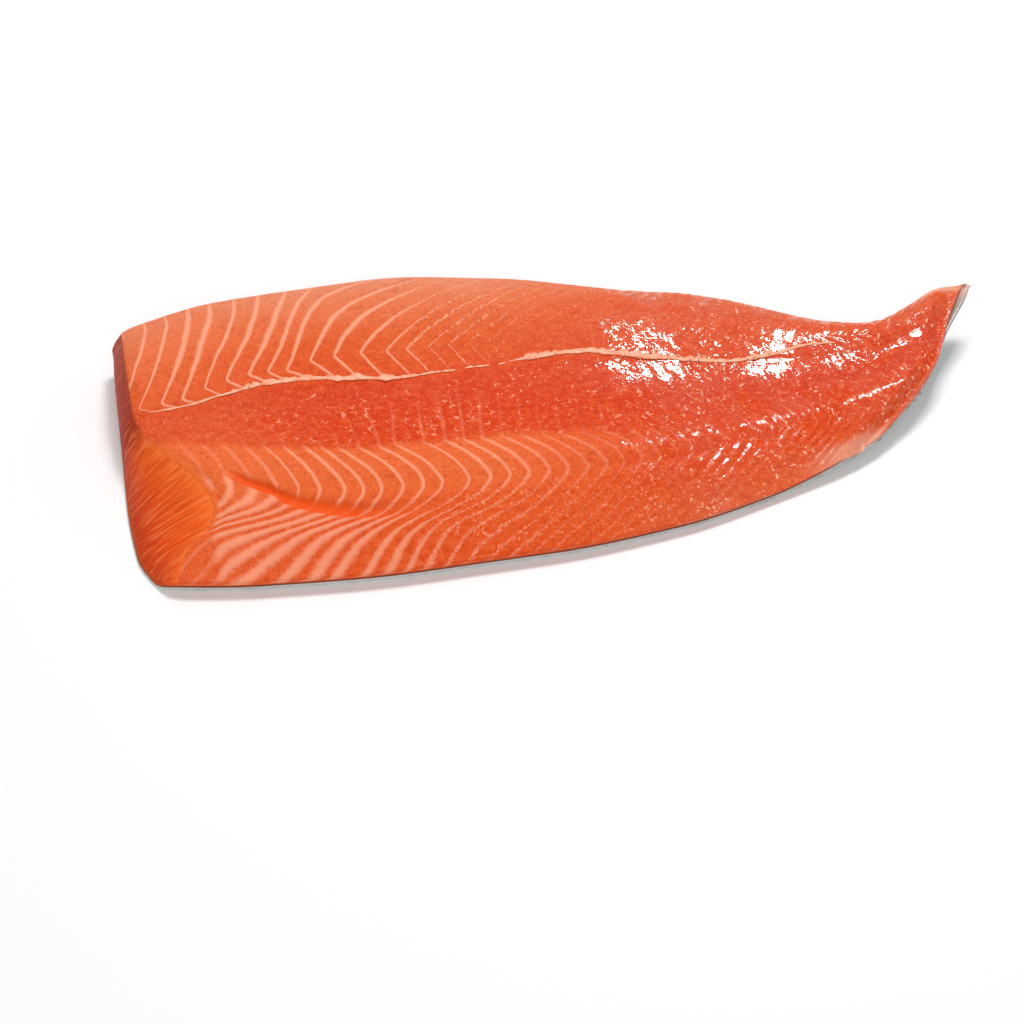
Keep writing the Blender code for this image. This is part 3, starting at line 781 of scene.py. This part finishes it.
def silver_skin(name, spotted):
    """Skin coloured round the fish: slate on the back, silver on the side, pale on the belly."""
    finish, t = new_material(name)
    place = add(t, "ShaderNodeTexCoord", out="Object")
    turn = add(t, "ShaderNodeAttribute", attribute_name="turn", out="Fac")
    outside = add(t, "ShaderNodeAttribute", attribute_name="outside", out="Fac")
    cloud = add(t, "ShaderNodeTexNoise", {"Vector": place, "Scale": 1 / (14 * MM), "Detail": 3.0})
    shifted = add(t, "ShaderNodeMath", {0: cloud, 1: .22, 2: turn}, operation="MULTIPLY_ADD")
    shifted = add(t, "ShaderNodeMath", {0: shifted, 1: .11}, operation="SUBTRACT")
    round_fish = add(t, "ShaderNodeValToRGB", {0: shifted})
    stops = round_fish.node.color_ramp.elements
    for k, (at, code) in enumerate(ROUND_COLOURS.items()):
        stop = stops[k] if k < 2 else stops.new(at)
        stop.position, stop.color = at, colour(code)
    cell = add(t, "ShaderNodeTexVoronoi", {"Vector": place, "Scale": 1 / (15 * MM)})
    uneven = add(t, "ShaderNodeMath", {0: cloud, 1: .25, 2: cell}, operation="MULTIPLY_ADD")
    spot = add(t, "ShaderNodeMapRange", {0: uneven, 1: .30, 2: .24}, interpolation_type="SMOOTHSTEP")
    on_back = add(t, "ShaderNodeMapRange", {0: turn, 1: .42, 2: .3}, interpolation_type="SMOOTHSTEP")
    spot = add(t, "ShaderNodeMath", {0: spot, 1: on_back}, operation="MULTIPLY")
    base = add(t, "ShaderNodeMix", {0: spot, 6: round_fish, 7: colour("15191B")}, out=2, data_type="RGBA")
    if not spotted:
        grey = add(t, "ShaderNodeMix", {0: cloud, 6: colour("8E827A"), 7: colour("ACA098")}, out=2, data_type="RGBA")
        fatty = add(t, "ShaderNodeMapRange", {0: turn, 1: .3, 2: .1, 4: .8}, interpolation_type="SMOOTHSTEP")
        grey = add(t, "ShaderNodeMix", {0: fatty, 6: grey, 7: colour("E8B3A0")}, out=2, data_type="RGBA")
        base = add(t, "ShaderNodeMix", {0: outside, 6: grey, 7: base}, out=2, data_type="RGBA")
    shine = add(t, "ShaderNodeMapRange", {0: turn, 1: .1, 2: .6, 3: .25, 4: .55})
    if not spotted:
        shine = add(t, "ShaderNodeMath", {0: shine, 1: outside}, operation="MULTIPLY")
    fine = add(t, "ShaderNodeTexNoise", {"Vector": place, "Scale": 1 / (1.1 * MM), "Detail": 2.0})
    bumps = add(t, "ShaderNodeBump", {"Strength": .5, "Distance": .12 * MM, "Height": fine})
    shader = add(t, "ShaderNodeBsdfPrincipled", {"Base Color": base, "Metallic": shine, "Roughness": .34,
                                                 "Normal": bumps, "Coat Weight": .5, "Coat Roughness": .12})
    add(t, "ShaderNodeOutputMaterial", {0: shader})
    return finish


skin.data.materials.append(silver_skin("silver_salmon_skin", False))
scale_finish = silver_skin("clear_silver_scales", True)
scale_tree = plates_on_points("overlapping_scales", scale_finish, 8, .82)
scales = grow("scales_piece", scale_places, scale_tree,
              {"Length": 4.9 * MM, "Width": 4.5 * MM, "Thickness": .14 * MM, "Tilt": .045, "Uneven": .12})

# %% [markdown]
# ## The midline
# Where the two halves of the muscle meet, a cord of pale fat runs along the fillet. It is thin at the head,
# thickens to the tail, and has a knob wherever a pale sheet joins it, so it looks like a row of thorns. It is a
# path with a changing width, which Geometry Nodes turn into a flattened cord.

# %% The path of the midline
SEAM_FROM, SEAM_TO, SEAM_STEP = 17, 352, .7
SEAM_STATION = [15, 30, 60, 80, 110, 140, 150, 185, 195, 240, 300, 352]
SEAM_HALF = [.8, 1.2, 1.5, 1.9, 2.3, 2.1, 1.0, 1.0, 1.9, 2.2, 2.0, .7]
seam_x = np.arange(SEAM_FROM, SEAM_TO, SEAM_STEP)
seam_across = along(SEAM_AT_STATION, SEAM_AT, seam_x) - .01 + .006 * soft_noise(seam_x, 0 * seam_x, 9, 21)
on_seam = flesh_top(seam_x, seam_across)
seam_leaf = leaf_number(seam_x, seam_across, on_seam[:, 1])
knob = 1 - ramp(.04, .26, np.abs(seam_leaf - np.round(seam_leaf)))
thorn = knob * (.65 + .35 * soft_noise(seam_x, 0 * seam_x, 7, 22)) * ramp(60, 75, seam_x)
thorn = np.maximum(thorn, .7 * ramp(.15, .6, soft_noise(seam_x, 0 * seam_x, 1.7, 25)) * ramp(50, 60, seam_x))
half = along(SEAM_STATION, SEAM_HALF, seam_x) * (.75 + .9 * thorn)
broken = ramp(140, 150, seam_x) * (1 - ramp(185, 200, seam_x))
half = half * (1 - broken * ramp(-.1, .25, soft_noise(seam_x, 0 * seam_x, 2.6, 23)))
half = half * (.85 + .3 * soft_noise(seam_x, 0 * seam_x, 3, 24))
on_seam[:, 1] += .4 * half * thorn
on_seam[:, 2] -= .03
half = np.maximum(half, .05) * ramp(0, 12, seam_x - SEAM_FROM) * ramp(0, 20, SEAM_TO - seam_x) + .02
links = [(k, k + 1) for k in range(len(seam_x) - 1)]
seam_path = piece_from("seam_path", on_seam, [], links)
give_numbers(seam_path, {"half": half * MM})

# %% Material of the fat
fat_finish, t = new_material("pale_moist_fish_fat")
place = add(t, "ShaderNodeTexCoord", out="Object")
cloud = add(t, "ShaderNodeTexNoise", {"Vector": place, "Scale": 1 / (3.0 * MM), "Detail": 3.0})
tint = add(t, "ShaderNodeMapRange", {0: cloud, 1: .3, 2: .7})
base = add(t, "ShaderNodeMix", {0: tint, 6: colour("F08F68"), 7: colour("FABA9A")}, out=2, data_type="RGBA")
bumps = add(t, "ShaderNodeBump", {"Strength": .6, "Distance": .3 * MM, "Height": cloud})
fat_shader = add(t, "ShaderNodeBsdfPrincipled", {
    "Base Color": base, "Roughness": .45, "IOR": 1.44, "Specular IOR Level": .3, "Normal": bumps,
    "Subsurface Weight": .2, "Subsurface Radius": (1.0, .5, .35), "Subsurface Scale": 1.2 * MM})
add(t, "ShaderNodeOutputMaterial", {0: fat_shader})

# %% The midline cord
seam_tree, size = new_tree("flattened_cord", ("Flatness",))
path = add(seam_tree, "GeometryNodeMeshToCurve", {0: seam_tree.nodes["Group Input"].outputs[0]})
half_width = add(seam_tree, "GeometryNodeInputNamedAttribute", {"Name": "half"}, data_type="FLOAT")
path = add(seam_tree, "GeometryNodeSetCurveNormal", {0: path}, mode="Z_UP")
path = add(seam_tree, "GeometryNodeSetCurveRadius", {0: path, "Radius": half_width})
profile = add(seam_tree, "GeometryNodeCurvePrimitiveCircle", {"Resolution": 10, "Radius": 1.0})
squashed = add(seam_tree, "ShaderNodeCombineXYZ", {0: 1.0, 1: size["Flatness"], 2: 1.0})
profile = add(seam_tree, "GeometryNodeTransform", {0: profile, "Scale": squashed})
cord = add(seam_tree, "GeometryNodeCurveToMesh", {"Curve": path, "Profile Curve": profile, "Scale": half_width,
                                                  "Fill Caps": True})
finish_tree(seam_tree, add(seam_tree, "GeometryNodeSetShadeSmooth", {0: cord}), fat_finish)
seam = grow("midline_fat_piece", seam_path, seam_tree, {"Flatness": .2})
print("seam box", [tuple(round(v, 4) for v in corner) for corner in (seam.bound_box[0], seam.bound_box[6])])

# %% [markdown]
# ## The studio
# A fillet is photographed from above and to the side, in soft daylight from all round, so that the wet flesh
# doesn't burn out. Two small windows stand behind the tail: the wet flesh there mirrors them in broken glints. A
# wide and weak one in front keeps the head cut from going dull.

# %% Floor, light and camera
floor_mesh = bpy.data.meshes.new("floor")
floor_mesh.from_pydata([(-4, -4, 0), (4, -4, 0), (4, 4, 0), (-4, 4, 0)], [], [(0, 1, 2, 3)])
floor = bpy.data.objects.new("floor", floor_mesh)
bpy.context.scene.collection.objects.link(floor)
floor_finish, t = new_material("plain_white_board")
floor_shader = add(t, "ShaderNodeBsdfPrincipled", {"Base Color": colour("F7F7F7"), "Roughness": .9,
                                                   "Specular IOR Level": .1})
add(t, "ShaderNodeOutputMaterial", {0: floor_shader})
floor_mesh.materials.append(floor_finish)

world = bpy.data.worlds.new("daylight")
world.use_nodes = True
world.node_tree.nodes["Background"].inputs[0].default_value = colour("FFFFFF")
world.node_tree.nodes["Background"].inputs[1].default_value = .42
bpy.context.scene.world = world


def window(name, turned, rise, reach, size, brightness):
    """A rectangle of soft light, facing the middle of the fillet; turned is counted from +Y towards +X."""
    lamp = bpy.data.lights.new(name, "AREA")
    lamp.shape, lamp.size, lamp.size_y = "RECTANGLE", size[0], size[1]
    lamp.energy = brightness * np.pi * size[0] * size[1]
    light = bpy.data.objects.new(name, lamp)
    turned, rise = np.radians(turned), np.radians(rise)
    direction = Vector((np.sin(turned) * np.cos(rise), np.cos(turned) * np.cos(rise), np.sin(rise)))
    light.location = direction * reach
    light.rotation_euler = direction.to_track_quat("Z", "Y").to_euler()
    bpy.context.scene.collection.objects.link(light)


window("high_window", 33, 66, 1.6, (.38, .30), 36)
window("tail_window", -8, 74, 1.6, (.20, .25), 20)
window("front_window", 195, 40, 2.0, (1.4, 1.0), 2.3)

VIEW_AT = (174.3, -49.25, 15)
lens = bpy.data.cameras.new("camera")
lens.lens, lens.sensor_width = 85, 36
camera = bpy.data.objects.new("camera", lens)
target = Vector((np.array(VIEW_AT) - CENTRE) * MM)
yaw, rise, far = np.radians(10.8), np.radians(48.1), 1.0866
back = Vector((-np.sin(yaw) * np.cos(rise), -np.cos(yaw) * np.cos(rise), np.sin(rise)))
camera.location = target + back * far
camera.rotation_euler = back.to_track_quat("Z", "Y").to_euler()
bpy.context.scene.collection.objects.link(camera)
bpy.context.scene.camera = camera
bpy.context.scene.view_settings.view_transform = "Standard"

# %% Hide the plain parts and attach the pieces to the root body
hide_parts("flesh")
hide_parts("skin")
for piece, slot in ((flesh, "flesh"), (seam, "flesh"), (skin, "skin"), (scales, "skin")):
    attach(piece, "root")
